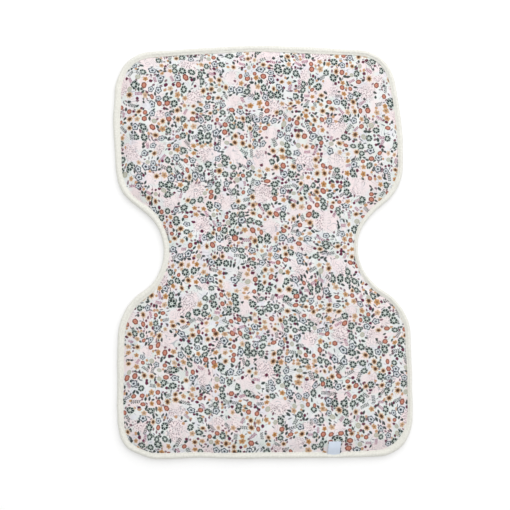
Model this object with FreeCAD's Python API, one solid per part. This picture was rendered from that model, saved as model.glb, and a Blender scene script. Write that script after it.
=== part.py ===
import FreeCAD, Part

# Hourglass kneeling pad: a thin cushion of four cloth and foam layers whose raw edge is
# closed all round by a folded plush binding, with a small folded ribbon label.
#
# Frame: +Z up, +Y towards the far end, +X to the right of someone who kneels at the near
# end. The origin is on the surface that the pad lies on, under the middle of its outline.
# All sizes are in millimetres and all angles in degrees.
#
# Most pieces are a section swept round the outline. A section is drawn with two numbers:
# "inset", the distance inwards from the outline, and the height above the floor.

import math
import os
from FreeCAD import Vector

# ---- Outline, seen from above -------------------------------------------------------
# The outline is a chain of straight edges with a round corner between each two.
overall_length = 432.0
overall_width = 305.0
waist_width = 203.0
waist_radius = 50.0
shoulder_radius = 55.0  # between a flank and a side
flank_length = 9.5  # straight part of a flank, between the waist's arc and the shoulder's
far_side_taper = 2.0  # the sides draw in towards the far end
far_corner_radius = 42.0
far_end_slope = 3.5  # each half of the far end falls away from the middle
far_end_radius = 700.0
near_side_flare = 0.5  # the sides spread towards the near end
near_corner_radius = 39.0

# ---- Layers, from the floor up ------------------------------------------------------
back_thickness = 2.2
core_thickness = 7.3
wadding_thickness = 2.0
face_thickness = 0.5

# ---- Seam margin: what the binding holds --------------------------------------------
pressed_back = 1.3  # the plush back, squeezed in the seam
pressed_wadding = 1.2
ditch_width = 2.0  # flat strip of cloth between the binding's lip and the swell
face_swell = 16.0  # width over which the face rises to its full height
back_swell = 5.0  # the same under the pad
core_reach = 6.0  # how far the foam reaches out under the swell
inner_steps = 2  # straight steps that stand for the crown's hidden underside

# ---- Binding ------------------------------------------------------------------------
roll_diameter = 8.0
binding_reach = 6.5  # from the rim to the edge of each lip
lip_height = 1.0  # thickness of a lip's edge
fold_wall = 2.4  # plush between the rim and the bottom of the slot
rim_steps = 6  # straight steps round the rim, an even number

# ---- Ribbon label -------------------------------------------------------------------
label_width = 12.7
label_length = 10.4  # from the hinge line to the fold at the free end
ribbon_thickness = 0.25
label_offset = 72.0  # to the right of the pad's middle, along the near end
label_clearance = 0.4  # air under the flap, so that it can lift
label_tail_length = 5.0
hinge_gap = 1.3  # from the tail's end to the swell's foot, where the flap is hinged

# ---- Heights worked out from the layers ---------------------------------------------
roll_radius = roll_diameter / 2
margin_thickness = pressed_back + pressed_wadding + face_thickness
margin_bottom = roll_radius - margin_thickness / 2
margin_back_top = margin_bottom + pressed_back
margin_face_bottom = margin_back_top + pressed_wadding
margin_top = margin_face_bottom + face_thickness
core_top = back_thickness + core_thickness
wadding_top = core_top + wadding_thickness
face_top = wadding_top + face_thickness

# ---- Insets worked out from the binding ---------------------------------------------
swell_inset = binding_reach + ditch_width
flat_inset = swell_inset + face_swell
core_inset = flat_inset - core_reach
back_flat_inset = binding_reach + back_swell


# ---- The outline ---------------------------------------------------------------------
def direction(angle):
    turn = math.radians(angle)
    return Vector(math.cos(turn), math.sin(turn), 0)


class Corner:
    """A round corner. Its outward normal turns from angle start to angle end. At the waist
    it is hollow, so its centre is outside the pad."""

    def __init__(self, x, y, radius, start, end, hollow=False):
        self.centre = Vector(x, y, 0)
        self.start, self.end = start, end
        self.reach = -radius if hollow else radius

    def point(self, normal, inset=0.0):
        """The point with that outward normal on the outline moved inwards by inset."""
        return self.centre + direction(normal) * (self.reach - inset)

    def edge(self, inset):
        middle = (self.start + self.end) / 2
        return Part.Arc(*(self.point(a, inset) for a in (self.start, middle, self.end))).toShape()

    def mirrored(self):
        """The same corner on the left of the pad, followed the same way round."""
        return Corner(
            -self.centre.x, self.centre.y, abs(self.reach), 180 - self.end, 180 - self.start,
            self.reach < 0,
        )


def edge_reach(corner, normal):
    """Distance from the origin to the straight edge that touches a corner at a normal."""
    return corner.point(normal).dot(direction(normal))


def corner_between(first, second, radius):
    """The corner between two straight edges, each given by its normal and its reach."""
    (angle_a, reach_a), (angle_b, reach_b) = first, second
    a, b = direction(angle_a), direction(angle_b)
    size = a.x * b.y - a.y * b.x
    away_a, away_b = reach_a - radius, reach_b - radius
    x = (away_a * b.y - away_b * a.y) / size
    y = (away_b * a.x - away_a * b.x) / size
    return Corner(x, y, radius, angle_a, angle_b)


def flank_lean():
    """How far the four slanting flanks lean from the Y axis, so that the waist's arc, the
    flank's straight part and the shoulder's arc fill the depth of the hollow between them."""
    hollow_depth = (overall_width - waist_width) / 2
    radii = waist_radius + shoulder_radius
    turn = math.acos((radii - hollow_depth) / math.hypot(radii, flank_length))
    return math.degrees(turn - math.atan2(flank_length, radii))


def right_side_corners():
    """The corners on the pad's right, from the near end to the middle of the far end."""
    half_width, half_length = overall_width / 2, overall_length / 2
    flank_angle = flank_lean()
    waist_x = waist_width / 2 + waist_radius
    waist = Corner(waist_x, 0, waist_radius, flank_angle, -flank_angle, hollow=True)
    flank_reach = edge_reach(waist, flank_angle)

    near_x, near_y = half_width - near_corner_radius, near_corner_radius - half_length
    near_corner = Corner(near_x, near_y, near_corner_radius, -90, near_side_flare)
    near_side = (near_side_flare, edge_reach(near_corner, near_side_flare))
    near_shoulder = corner_between(near_side, (flank_angle, flank_reach), shoulder_radius)

    # The far shoulder is the widest place of the far end, which sets its centre.
    far_x = half_width - shoulder_radius
    flank = direction(-flank_angle)
    far_y = (flank_reach - shoulder_radius - far_x * flank.x) / flank.y
    far_shoulder = Corner(far_x, far_y, shoulder_radius, -flank_angle, far_side_taper)
    bow_y = half_length - far_end_radius
    far_bow = Corner(0, bow_y, far_end_radius, 90 - far_end_slope, 90 + far_end_slope)
    far_side = (far_side_taper, edge_reach(far_shoulder, far_side_taper))
    far_end = (far_bow.start, edge_reach(far_bow, far_bow.start))
    far_corner = corner_between(far_side, far_end, far_corner_radius)
    return [near_corner, near_shoulder, waist, far_shoulder, far_corner, far_bow]


right_corners = right_side_corners()
outline = right_corners + [corner.mirrored() for corner in reversed(right_corners[:-1])]


def straight_edges(inset=0.0):
    """The start, end and outward normal of each straight edge of the outline."""
    return [
        (corner.point(corner.end, inset), following.point(following.start, inset), corner.end)
        for corner, following in zip(outline, outline[1:] + outline[:1])
    ]


def slab(inset, bottom, top):
    """A flat plate that fills the outline moved inwards by inset."""
    edges = [corner.edge(inset) for corner in outline]
    edges += [Part.LineSegment(start, end).toShape() for start, end, normal in straight_edges(inset)]
    plate = Part.Face(Part.Wire(Part.__sortEdges__(edges))).extrude(Vector(0, 0, top - bottom))
    plate.translate(Vector(0, 0, bottom))
    return plate


# ---- Sections and how they are swept ------------------------------------------------
def at(inset, height):
    """A section's point, drawn where the outline's outward normal is +X."""
    return Vector(-inset, 0, height)


def line(start, end):
    return Part.LineSegment(at(*start), at(*end)).toShape()


def arc(start, middle, end):
    return Part.Arc(at(*start), at(*middle), at(*end)).toShape()


def lines(*points):
    return [line(start, end) for start, end in zip(points, points[1:])]


def section(edges):
    return Part.Face(Part.Wire(Part.__sortEdges__(edges)))


def stand(shape, point, normal):
    """A section or solid, stood up at a point of the outline."""
    turned = shape.copy()
    turned.rotate(Vector(0, 0, 0), Vector(0, 0, 1), normal)
    turned.translate(point)
    return turned


def swept(face):
    """The section carried once round the outline: a solid for each corner and edge."""
    spans = []
    for corner in outline:
        start = stand(face, corner.point(corner.start), corner.start)
        turn = corner.end - corner.start
        spans.append(start.revolve(corner.centre, Vector(0, 0, 1), turn))
    for start, end, normal in straight_edges():
        spans.append(stand(face, start, normal).extrude(end - start))
    return spans


def one_solid(pieces):
    fused = pieces[0].multiFuse(pieces[1:]).removeSplitter()
    if len(fused.Solids) != 1:
        raise ValueError("expected one solid, got %d" % len(fused.Solids))
    return fused.Solids[0]


# ---- The crown: the arc on which the face rises from the ditch to its full height ----
crown_rise = face_top - margin_top
crown_radius = (face_swell**2 + crown_rise**2) / (2 * crown_rise)
crown_height = face_top - crown_radius  # of the arc's centre, which is at flat_inset


def crown_point(angle, depth):
    """A point of the crown at a depth below the face; angle is how far it is from level."""
    reach, turn = crown_radius - depth, math.radians(angle)
    return (flat_inset - reach * math.sin(turn), crown_height + reach * math.cos(turn))


def crown_foot_angle(height, depth):
    """Where the crown at that depth comes down to a height."""
    return math.degrees(math.acos((height - crown_height) / (crown_radius - depth)))


def inner_crown():
    """The surface between the face and the wadding, in straight steps from foot to top."""
    foot_angle = crown_foot_angle(margin_face_bottom, face_thickness)
    angles = [foot_angle * step / inner_steps for step in range(inner_steps, -1, -1)]
    return [crown_point(angle, face_thickness) for angle in angles]


# ---- Layers -------------------------------------------------------------------------
def make_face_panel():
    """Printed cotton: flat over the core, drawn down to the seam margin round the edge."""
    foot_angle = crown_foot_angle(margin_top, 0)
    foot, top = crown_point(foot_angle, 0), crown_point(0, 0)
    crown = arc(foot, crown_point(foot_angle / 2, 0), top)
    rest = lines(foot, (fold_wall, margin_top), (fold_wall, margin_face_bottom), *inner_crown(), top)
    return one_solid(swept(section([crown] + rest)) + [slab(flat_inset, wadding_top, face_top)])


def make_wadding():
    """Soft polyester sheet under the face. Round the foam it fills the swell, and its
    margin is pressed flat in the seam."""
    band = section(
        lines(
            *inner_crown(),
            (flat_inset, core_top),
            (core_inset, core_top),
            (core_inset, back_thickness),
            (back_flat_inset, back_thickness),
            (binding_reach, margin_back_top),
            (fold_wall, margin_back_top),
            (fold_wall, margin_face_bottom),
            inner_crown()[0],
        )
    )
    return one_solid(swept(band) + [slab(flat_inset, core_top, wadding_top)])


def make_foam_core():
    """Die-cut foam sheet, trimmed short of the seam."""
    return slab(core_inset, back_thickness, core_top)


def make_back_panel():
    """Plush underside, flat on the floor and lifted to the seam margin round the edge."""
    band = section(
        lines(
            (back_flat_inset, 0),
            (binding_reach, margin_bottom),
            (fold_wall, margin_bottom),
            (fold_wall, margin_back_top),
            (binding_reach, margin_back_top),
            (back_flat_inset, back_thickness),
            (back_flat_inset, 0),
        )
    )
    return one_solid(swept(band) + [slab(back_flat_inset, 0, back_thickness)])


# ---- Binding ------------------------------------------------------------------------
def make_edge_binding():
    """Plush strip folded round the margin: round at the rim, thinner towards the seam."""
    turns = [math.pi * step / rim_steps for step in range(rim_steps + 1)]
    rim = [(roll_radius * (1 - math.sin(t)), roll_radius * (1 + math.cos(t))) for t in turns]
    band = section(
        lines(
            *rim,
            (binding_reach, margin_bottom - lip_height),
            (binding_reach, margin_bottom),
            (fold_wall, margin_bottom),
            (fold_wall, margin_top),
            (binding_reach, margin_top),
            (binding_reach, margin_top + lip_height),
            rim[0],
        )
    )
    return one_solid(swept(band))


# ---- Ribbon label -------------------------------------------------------------------
# The label is drawn in a section, given its width, and stood up at the near end. One
# length of ribbon makes both nodes, which part at the crease where the flap lifts.
ribbon_stack = 2 * ribbon_thickness
label_foot_angle = crown_foot_angle(margin_top, 0)
hinge_inset, hinge_height = crown_point(label_foot_angle, -label_clearance - ribbon_thickness)


def across_label(face):
    """A section given the label's width and stood up where the label is sewn in."""
    solid = face.extrude(Vector(0, label_width, 0))
    solid.translate(Vector(0, -label_width / 2, 0))
    return stand(solid, Vector(label_offset, -overall_length / 2, 0), -90)


def make_label_tail():
    """The ribbon's two ends, caught in the seam between the face and the binding's lip."""
    inner = swell_inset - hinge_gap
    outer = inner - label_tail_length
    low, high = margin_top, margin_top + ribbon_stack
    return across_label(
        section(lines((outer, low), (inner, low), (inner, high), (outer, high), (outer, low)))
    )


def make_label_flap():
    """The folded ribbon's free part: it lies on the crown and lifts at the crease."""
    low, high = -label_clearance, -label_clearance - ribbon_stack
    tip_angle = label_foot_angle - math.degrees(label_length / (crown_radius - low))
    angles = (label_foot_angle, (label_foot_angle + tip_angle) / 2, tip_angle)
    roots, middles, tips = ([crown_point(angle, depth) for depth in (low, high)] for angle in angles)
    # The fold at the free end is half a round of the ribbon's own thickness.
    lean = math.radians(tip_angle)
    centre = crown_point(tip_angle, (low + high) / 2)
    fold = (
        centre[0] + ribbon_thickness * math.cos(lean),
        centre[1] + ribbon_thickness * math.sin(lean),
    )
    layers = [arc(root, middle, tip) for root, middle, tip in zip(roots, middles, tips)]
    return across_label(section(layers + [line(*roots), arc(tips[0], fold, tips[1])]))


# ---- The assembly -------------------------------------------------------------------
def make_parts():
    tail = make_label_tail()
    return {
        "back_panel": make_back_panel(),
        "foam_core": make_foam_core(),
        "wadding": make_wadding(),
        "face_panel": make_face_panel(),
        "edge_binding": make_edge_binding().cut(tail),
        "label_tail": tail,
        "label_flap": make_label_flap(),
    }


os.makedirs("parts", exist_ok=True)
for name, shape in make_parts().items():
    box = shape.optimalBoundingBox(False, False)
    print("%-13s valid %s, solids %d" % (name, shape.isValid(), len(shape.Solids)), end="")
    print(", x %.2f to %.2f" % (box.XMin, box.XMax), end="")
    print(", y %.2f to %.2f, z %.2f to %.2f" % (box.YMin, box.YMax, box.ZMin, box.ZMax))
    shape.exportStep("parts/%s.step" % name)
hinge_y = hinge_inset - overall_length / 2
print("label hinge: x %.2f, y %.3f, z %.3f" % (label_offset, hinge_y, hinge_height))
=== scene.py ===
# %% [markdown]
# # A kneeling pad in printed cotton with a plush edge
#
# The pad is a thin hourglass: printed cotton over wadding and foam, a plush back, and a
# plush strip folded round the raw edge and sewn through. A small folded ribbon label is
# caught in the seam. Everything here is soft, so every shape is made as a mesh of points
# that can be pushed about: rows of points that follow the outline for what is sewn, and a
# cloth simulation for the face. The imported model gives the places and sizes.

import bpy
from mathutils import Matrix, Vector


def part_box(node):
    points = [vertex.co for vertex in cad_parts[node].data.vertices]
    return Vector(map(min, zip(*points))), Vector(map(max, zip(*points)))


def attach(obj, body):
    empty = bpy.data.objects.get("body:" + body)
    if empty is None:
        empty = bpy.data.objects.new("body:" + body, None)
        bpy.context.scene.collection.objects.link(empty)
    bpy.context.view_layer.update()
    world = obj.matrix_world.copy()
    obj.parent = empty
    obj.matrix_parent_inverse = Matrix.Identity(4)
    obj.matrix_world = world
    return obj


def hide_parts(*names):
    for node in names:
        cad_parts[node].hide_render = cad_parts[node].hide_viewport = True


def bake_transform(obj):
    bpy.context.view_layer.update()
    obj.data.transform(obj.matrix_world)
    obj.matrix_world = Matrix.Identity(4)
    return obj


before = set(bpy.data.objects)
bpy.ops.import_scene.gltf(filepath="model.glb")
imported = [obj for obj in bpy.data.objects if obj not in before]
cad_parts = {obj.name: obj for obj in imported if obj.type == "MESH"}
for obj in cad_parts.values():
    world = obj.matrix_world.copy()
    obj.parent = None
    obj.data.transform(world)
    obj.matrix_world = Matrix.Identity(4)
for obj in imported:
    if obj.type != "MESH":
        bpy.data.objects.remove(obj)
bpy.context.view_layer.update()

# %% [markdown]
# ## Measures
#
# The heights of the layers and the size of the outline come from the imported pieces. The
# radii and slopes of the outline are the pattern that the pad was cut to. Blender works in
# metres, so a millimetre is a named value here.

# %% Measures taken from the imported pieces
import math

import bpy
import numpy as np
from mathutils import Matrix, Vector
from mathutils.geometry import delaunay_2d_cdt

MM = 0.001

_, binding_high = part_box("edge_binding")
face_low, face_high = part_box("face_panel")
core_low, core_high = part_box("foam_core")
flap_low, flap_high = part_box("label_flap")

half_width = binding_high[0]
half_length = binding_high[1]
roll_height = binding_high[2]
seam_height = roll_height / 2
face_height = face_high[2]
print("pad", 2 * half_width, "by", 2 * half_length, "and", face_height, "thick")

# %% [markdown]
# ## The outline as a row of stitches
#
# A pattern cutter draws this outline as straight edges with a rounded corner between each
# two. Each corner is an arc with a centre, and its outward direction turns from one edge's
# to the next. Walking along all of them gives a closed row of points, each with its outward
# direction, and any line that runs beside the edge is the same row moved inwards. So every
# sewn piece gets rows that match one for one, and a strip of faces can join two rows.

# %% The corners of the pattern
waist_half_width = 101.5 * MM
waist_radius = 50 * MM
shoulder_radius = 55 * MM
flank_length = 9.5 * MM
far_side_taper = 2.0
far_corner_radius = 42 * MM
far_end_slope = 3.5
far_end_radius = 700 * MM
near_side_flare = 0.5
near_corner_radius = 39 * MM


def direction(angle):
    turn = math.radians(angle)
    return np.array([math.cos(turn), math.sin(turn)])


class Corner:
    """An arc of the outline. A hollow one has its centre outside the pad."""

    def __init__(self, centre, radius, start, end, hollow=False):
        self.centre = np.array(centre, dtype=float)
        self.start, self.end = start, end
        self.reach = -radius if hollow else radius

    def point(self, angle):
        return self.centre + direction(angle) * self.reach

    def edge_reach(self, angle):
        """Distance from the middle of the pad to the edge that touches the arc there."""
        return float(self.point(angle) @ direction(angle))

    def mirrored(self):
        centre = (-self.centre[0], self.centre[1])
        return Corner(centre, abs(self.reach), 180 - self.end, 180 - self.start, self.reach < 0)


def corner_between(first, second, radius):
    """The arc between two straight edges, each given by its direction and its reach."""
    (angle_a, reach_a), (angle_b, reach_b) = first, second
    rows = np.array([direction(angle_a), direction(angle_b)])
    centre = np.linalg.solve(rows, [reach_a - radius, reach_b - radius])
    return Corner(centre, radius, angle_a, angle_b)


def flank_lean():
    """How far the slanting flanks lean, so that both arcs and the flank fill the hollow."""
    radii = waist_radius + shoulder_radius
    turn = math.acos((radii - half_width + waist_half_width) / math.hypot(radii, flank_length))
    return math.degrees(turn - math.atan2(flank_length, radii))


def pattern_corners():
    """All corners, anticlockwise from the right end of the near edge."""
    flank_angle = flank_lean()
    waist = Corner((waist_half_width + waist_radius, 0), waist_radius, flank_angle, -flank_angle, True)
    flank = (flank_angle, waist.edge_reach(flank_angle))

    near_centre = (half_width - near_corner_radius, near_corner_radius - half_length)
    near_corner = Corner(near_centre, near_corner_radius, -90, near_side_flare)
    near_side = (near_side_flare, near_corner.edge_reach(near_side_flare))
    near_shoulder = corner_between(near_side, flank, shoulder_radius)

    far_x = half_width - shoulder_radius
    lean = direction(-flank_angle)
    far_y = (flank[1] - shoulder_radius - far_x * lean[0]) / lean[1]
    far_shoulder = Corner((far_x, far_y), shoulder_radius, -flank_angle, far_side_taper)
    bow_centre = (0, half_length - far_end_radius)
    far_bow = Corner(bow_centre, far_end_radius, 90 - far_end_slope, 90 + far_end_slope)
    far_side = (far_side_taper, far_shoulder.edge_reach(far_side_taper))
    far_end = (far_bow.start, far_bow.edge_reach(far_bow.start))
    far_corner = corner_between(far_side, far_end, far_corner_radius)

    right = [near_corner, near_shoulder, waist, far_shoulder, far_corner]
    return right + [far_bow] + [corner.mirrored() for corner in reversed(right)]


corners = pattern_corners()
print(len(corners), "corners")

# %% Walking along the outline


def walk(spacing):
    """Points of the outline, their outward directions, and how far along each one is."""
    points, outward = [], []
    for corner, following in zip(corners, corners[1:] + corners[:1]):
        turn = math.radians(corner.end - corner.start)
        steps = max(3, round(abs(turn * corner.reach) / spacing))
        for angle in np.linspace(corner.start, corner.end, steps, endpoint=False):
            points.append(corner.point(angle))
            outward.append(direction(angle))
        start, end = corner.point(corner.end), following.point(following.start)
        steps = max(1, round(np.linalg.norm(end - start) / spacing))
        for part in np.linspace(0, 1, steps, endpoint=False):
            points.append(start + (end - start) * part)
            outward.append(direction(corner.end))
    points, outward = np.array(points), np.array(outward)
    gaps = np.linalg.norm(np.roll(points, -1, axis=0) - points, axis=1)
    return points, outward, np.concatenate([[0], np.cumsum(gaps)[:-1]]), gaps.sum()


seam_points, seam_outward, seam_run, seam_length = walk(3 * MM)
print("the edge is", round(seam_length, 4), "long, in", len(seam_points), "points")

# %% [markdown]
# ## Rows beside the edge, and cloth between them
#
# Sewn things are never ruler-straight. The row of stitches wanders by a few tenths of a
# millimetre, and the whole pad lies slightly askew, because a hand laid it down. A sum of
# a few waves with whole numbers of turns gives a wander that closes on itself, and the same
# one each time.

# %% Small irregularities
askew = 0.0218  # how far the pad leans sideways for each metre of its length
far_ease = 1.7  # how far the far end has been pulled out, in millimetres
# Where the edge has been pushed or pulled: (x, y), how wide the change is, and the shift
# in x and y, all in millimetres.
pulls = [
    (-152, 85, 26, 2.1, 0.0), (-152, 136, 16, -1.2, 0.0), (-149, 187, 12, 1.5, 0.0),
    (-136, -62, 34, 1.7, 0.0), (-142, -206, 17, -2.4, 0.0), (141, 177, 16, -2.0, 0.0),
    (152, 122, 24, 1.9, 0.0), (114, 34, 16, 1.6, 0.0), (126, -41, 12, -1.7, 0.0),
    (158, -86, 26, 1.6, 0.0), (142, -198, 26, -2.4, 0.2), (-132, 48, 9, 1.3, 0.0),
    (-120, -38, 12, 1.1, 0.0), (-128, -210, 9, 0.6, 0.9), (-68, -216, 18, 0.0, 1.0),
    (112, -216, 22, 0.0, 1.1), (144, -204, 8, 1.2, 0.0), (151, -127, 14, 0.8, 0.0),
    (-149, -160, 14, -0.8, 0.0),
]


def wander(run, waves, size, seed):
    """A smooth closed wobble along the edge, up to about the size given."""
    random = np.random.default_rng(seed)
    turn = 2 * np.pi * run / seam_length
    total = np.zeros_like(run)
    for wave in waves:
        total += np.sin(wave * turn + random.uniform(0, 2 * np.pi)) * random.uniform(0.5, 1)
    return size * total / math.sqrt(len(waves))


def lay_down(points):
    """The points as the pad lies: pulled about a little, and askew."""
    laid = np.array(points, dtype=float)
    flat = laid[:, :2].copy()
    laid[:, 1] += far_ease * MM * np.clip(flat[:, 1] / half_length, 0, 1) ** 2
    for x, y, reach, shift_x, shift_y in pulls:
        away = np.linalg.norm(flat - np.array([x, y]) * MM, axis=1) / (reach * MM)
        laid[:, :2] += np.outer(np.exp(-(away**2)), (shift_x * MM, shift_y * MM))
    laid[:, 0] -= askew * flat[:, 1]
    return laid


def row(points, outward, inset, height):
    """A row of 3-D points beside the edge. The inset and the height may vary along it."""
    flat = points - outward * np.reshape(inset, (-1, 1))
    return np.column_stack([flat, np.broadcast_to(height, len(flat))])


# %% [markdown]
# The binding's lip shows wider at the left and at the far end than at the right and near
# edges, because the seam has rolled a little out of the middle. In the hollow of the waist
# the strip is stretched, so it is narrower there, and the ribbon label presses it narrow
# too. At three places it bulges. One function says how wide the lip is at each place on
# the outline, and both the plush and the printed face use it.

# %% Width of the plush lip
lip_mean = 6.5 * MM
lip_left_shift = 0.8 * MM
lip_far_shift = 0.4 * MM
waist_tuck = 1.5 * MM  # how much narrower the lip is in the hollow of the waist
waist_reach = 48 * MM
lip_wander = 0.4 * MM
# Where the lip bulges: (x, y), how wide the bulge is, and how much wider the lip, in mm.
lip_bulges = [(134, -200, 22, 2.2), (-124, -52, 24, 1.4), (-114, 40, 16, 1.6)]
label_press = 2.4 * MM  # how much narrower the lip is where the label presses it
label_press_reach = 8 * MM
label_shift = 3 * MM  # the label has slid a little to the left along the seam
label_middle = (flap_high[0] + flap_low[0]) / 2 - label_shift
label_foot = np.array([label_middle, -half_length])
label_run = seam_run[np.argmin(np.linalg.norm(seam_points - label_foot, axis=1))]


def lip_width(points, outward, run):
    """How far the plush reaches in over the face, at each point of the outline."""
    width = lip_mean - lip_left_shift * outward[:, 0] + lip_far_shift * outward[:, 1]
    for x, y, reach, wider in lip_bulges:
        away = np.linalg.norm(points - np.array([x, y]) * MM, axis=1) / (reach * MM)
        width = width + wider * MM * np.exp(-(away**2))
    tucked = waist_tuck * np.exp(-((points[:, 1] / waist_reach) ** 2))
    pressed = label_press * np.exp(-(((run - label_run) / label_press_reach) ** 2))
    return width + wander(run, (4, 7, 11, 17), lip_wander, 6) - tucked - pressed


widths = lip_width(seam_points, seam_outward, seam_run)
print("lip from", round(widths.min() / MM, 2), "to", round(widths.max() / MM, 2), "mm")

# %% [markdown]
# A panel of cloth has two kinds of face. Near the seam it is a band of rows, so that the
# swell and the puckers follow the edge. Inside the last row, points are laid out as on
# honeycomb and joined into even triangles, which lets cloth crease in any direction.

# %% A panel that fills the outline


def honeycomb(edge, spacing):
    """Points inside a closed row, evenly spaced and clear of the row itself."""
    low, high = edge.min(axis=0), edge.max(axis=0)
    rise = spacing * math.sqrt(3) / 2
    inside = []
    for number, y in enumerate(np.arange(low[1] + rise / 2, high[1], rise)):
        shift = spacing / 2 if number % 2 else 0.0
        inside += [(x, y) for x in np.arange(low[0] + shift, high[0], spacing)]
    inside = np.array(inside)

    start, end = edge, np.roll(edge, -1, axis=0)
    crossings = np.zeros(len(inside), dtype=int)
    nearest = np.full(len(inside), np.inf)
    for (ax, ay), (bx, by) in zip(start, end):
        spans = (ay > inside[:, 1]) != (by > inside[:, 1])
        if ay != by:
            at = ax + (inside[:, 1] - ay) * (bx - ax) / (by - ay)
            crossings += spans & (inside[:, 0] < at)
        nearest = np.minimum(nearest, np.hypot(inside[:, 0] - ax, inside[:, 1] - ay))
    return inside[(crossings % 2 == 1) & (nearest > 0.7 * spacing)]


def fill_row(edge, spacing):
    """Inner points and triangles for a closed row. Numbers under len(edge) are its own."""
    inner = honeycomb(edge, spacing)
    flat = [Vector(point) for point in np.vstack([edge, inner])]
    count = len(edge)
    ring = [(i, (i + 1) % count) for i in range(count)]
    _, _, faces, originals, _, _ = delaunay_2d_cdt(flat, ring, [], 1, 1e-7)
    number = [source[0] for source in originals]
    return inner, [[number[v] for v in face] for face in faces]


def band_faces(rows, count, first=0):
    """Faces between rows of points that follow the edge, each row further in."""
    faces = []
    for level in range(rows - 1):
        outer, inner = first + level * count, first + (level + 1) * count
        for i in range(count):
            j = (i + 1) % count
            faces.append((outer + i, outer + j, inner + j, inner + i))
    return faces


def panel(points, outward, insets, spacing):
    """A flat panel: its points in the plane, how far in each one is, and its faces."""
    rings = [points - outward * np.reshape(inset, (-1, 1)) for inset in insets]
    inner, triangles = fill_row(rings[-1], spacing)
    count = len(points)
    base = (len(rings) - 1) * count
    faces = band_faces(len(rings), count)
    faces += [tuple(base + v for v in face) for face in triangles]
    depth = np.concatenate([np.broadcast_to(inset, count) for inset in insets])
    beyond = np.array([np.hypot(*(rings[-1] - point).T).min() for point in inner])
    depth = np.concatenate([depth, np.mean(insets[-1]) + beyond])
    return np.vstack(rings + [inner]), depth, faces


# %% [markdown]
# Every piece is made from a list of points and faces, placed in the scene and shaded smooth.
# It is hung on the body it moves with, if it has one, and the imported pieces that it takes
# the place of are hidden. Its finish is given later, with the materials.

# %% Making a piece


def make_piece(name, points, faces, body="pad", stands_for=()):
    """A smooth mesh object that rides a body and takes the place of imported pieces."""
    mesh = bpy.data.meshes.new(name)
    mesh.from_pydata([tuple(p) for p in points], [], [tuple(f) for f in faces])
    mesh.validate()
    piece = bpy.data.objects.new(name, mesh)
    bpy.context.scene.collection.objects.link(piece)
    mesh.shade_smooth()
    if body:
        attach(piece, body)
    if stands_for:
        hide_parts(*stands_for)
    print(name, len(mesh.vertices), "points,", len(mesh.polygons), "faces")
    return piece


# %% [markdown]
# ## The printed face
#
# The face starts low in the seam, rises steeply over the foam's edge and then lies flat.
# The curve of that rise is a simple power: steep at the seam and level at the top. The
# first row is hidden under the plush lip.

# %% The shape of the face before it is sewn tight
face_swell = 22 * MM
rise_power = 1.8
face_foot = face_low[2] + 0.7 * MM
cloth_spacing = 8 * MM


def face_rise(depth, lip):
    """Height of the face at a depth inside the outline, for a lip of that width."""
    part = np.clip((depth - lip) / face_swell, 0, 1)
    return face_foot + (face_height - face_foot) * (1 - (1 - part) ** rise_power)


seam_points, seam_outward, seam_run, _ = walk(cloth_spacing)
widths = lip_width(seam_points, seam_outward, seam_run)
row_steps = np.array([-1.8, 0.0, 2.0, 4.6, 8.2, 13.5]) * MM
face_flat, face_depth, face_faces = panel(
    seam_points, seam_outward, [widths + step for step in row_steps], cloth_spacing
)
row_lips = np.tile(widths, len(row_steps))
face_lips = np.concatenate([row_lips, np.full(len(face_flat) - len(row_lips), lip_mean)])
face_start = np.column_stack([face_flat, face_rise(face_depth, face_lips)])
print("the face starts as", len(face_start), "points")

# %% [markdown]
# ### Letting the cloth buckle
#
# Cotton that is sewn over wadding is never quite taut. It is a little larger than the
# wadding under it, so it buckles into long soft folds: lengthwise at the ends and across
# the waist. A cloth simulation finds those folds. The cloth grows by one part in a hundred
# while the seam holds its edge firmly and the wadding holds the rest of it softly, as weak
# springs. A few faint creases, where such a pad gets folded, are there at the start, and
# the folds form round them. The work is done ten times as large, which suits the solver.

# %% Creases that are there before the cloth buckles
# Each is (x, y) of its two ends, its width and its height, in millimetres.
creases = [
    (-6, 210, -8, 146, 6, -0.5), (4, 206, 2, 150, 5, 0.6), (42, 204, 40, 108, 6, 0.8),
    (54, 200, 52, 100, 7, -0.4), (46, 98, 46, 20, 6, 0.5), (44, -90, 50, -150, 6, 0.6),
    (-62, 196, -70, 130, 9, 0.3), (78, -40, 81, -92, 7, 0.4), (-38, -14, -42, -40, 6, -0.4),
    (46, -8, 98, -11, 6, -0.5), (-98, 6, -60, 12, 7, 0.3), (12, -206, 14, -176, 6, 0.4),
    (30, -206, 28, -180, 6, -0.3), (-70, -204, -84, -150, 9, 0.3), (-24, -120, 30, -132, 12, -0.2),
]


def crease_heights(flat):
    """How high the creases stand at each point: highest midway, and lower at both ends."""
    total = np.zeros(len(flat))
    for ax, ay, bx, by, width, height in creases:
        start, end = np.array([ax, ay]) * MM, np.array([bx, by]) * MM
        span = end - start
        part = np.clip((flat - start) @ span / (span @ span), 0, 1)
        away = np.linalg.norm(flat - start - part[:, None] * span, axis=1)
        total += height * MM * np.exp(-((away / (width * MM)) ** 2)) * (0.3 + 0.7 * np.sin(np.pi * part))
    return total


# %% The simulation
solver_scale = 10.0
solver_frames = 20
fold_share = 0.42  # how much of each fold is left after the pad has been patted flat
cloth_growth = 0.01
wadding_hold = 0.35  # how hard the wadding holds the cloth, where the seam holds with 1
crease_inset = 12 * MM  # how deep inside the outline the creases start


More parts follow.
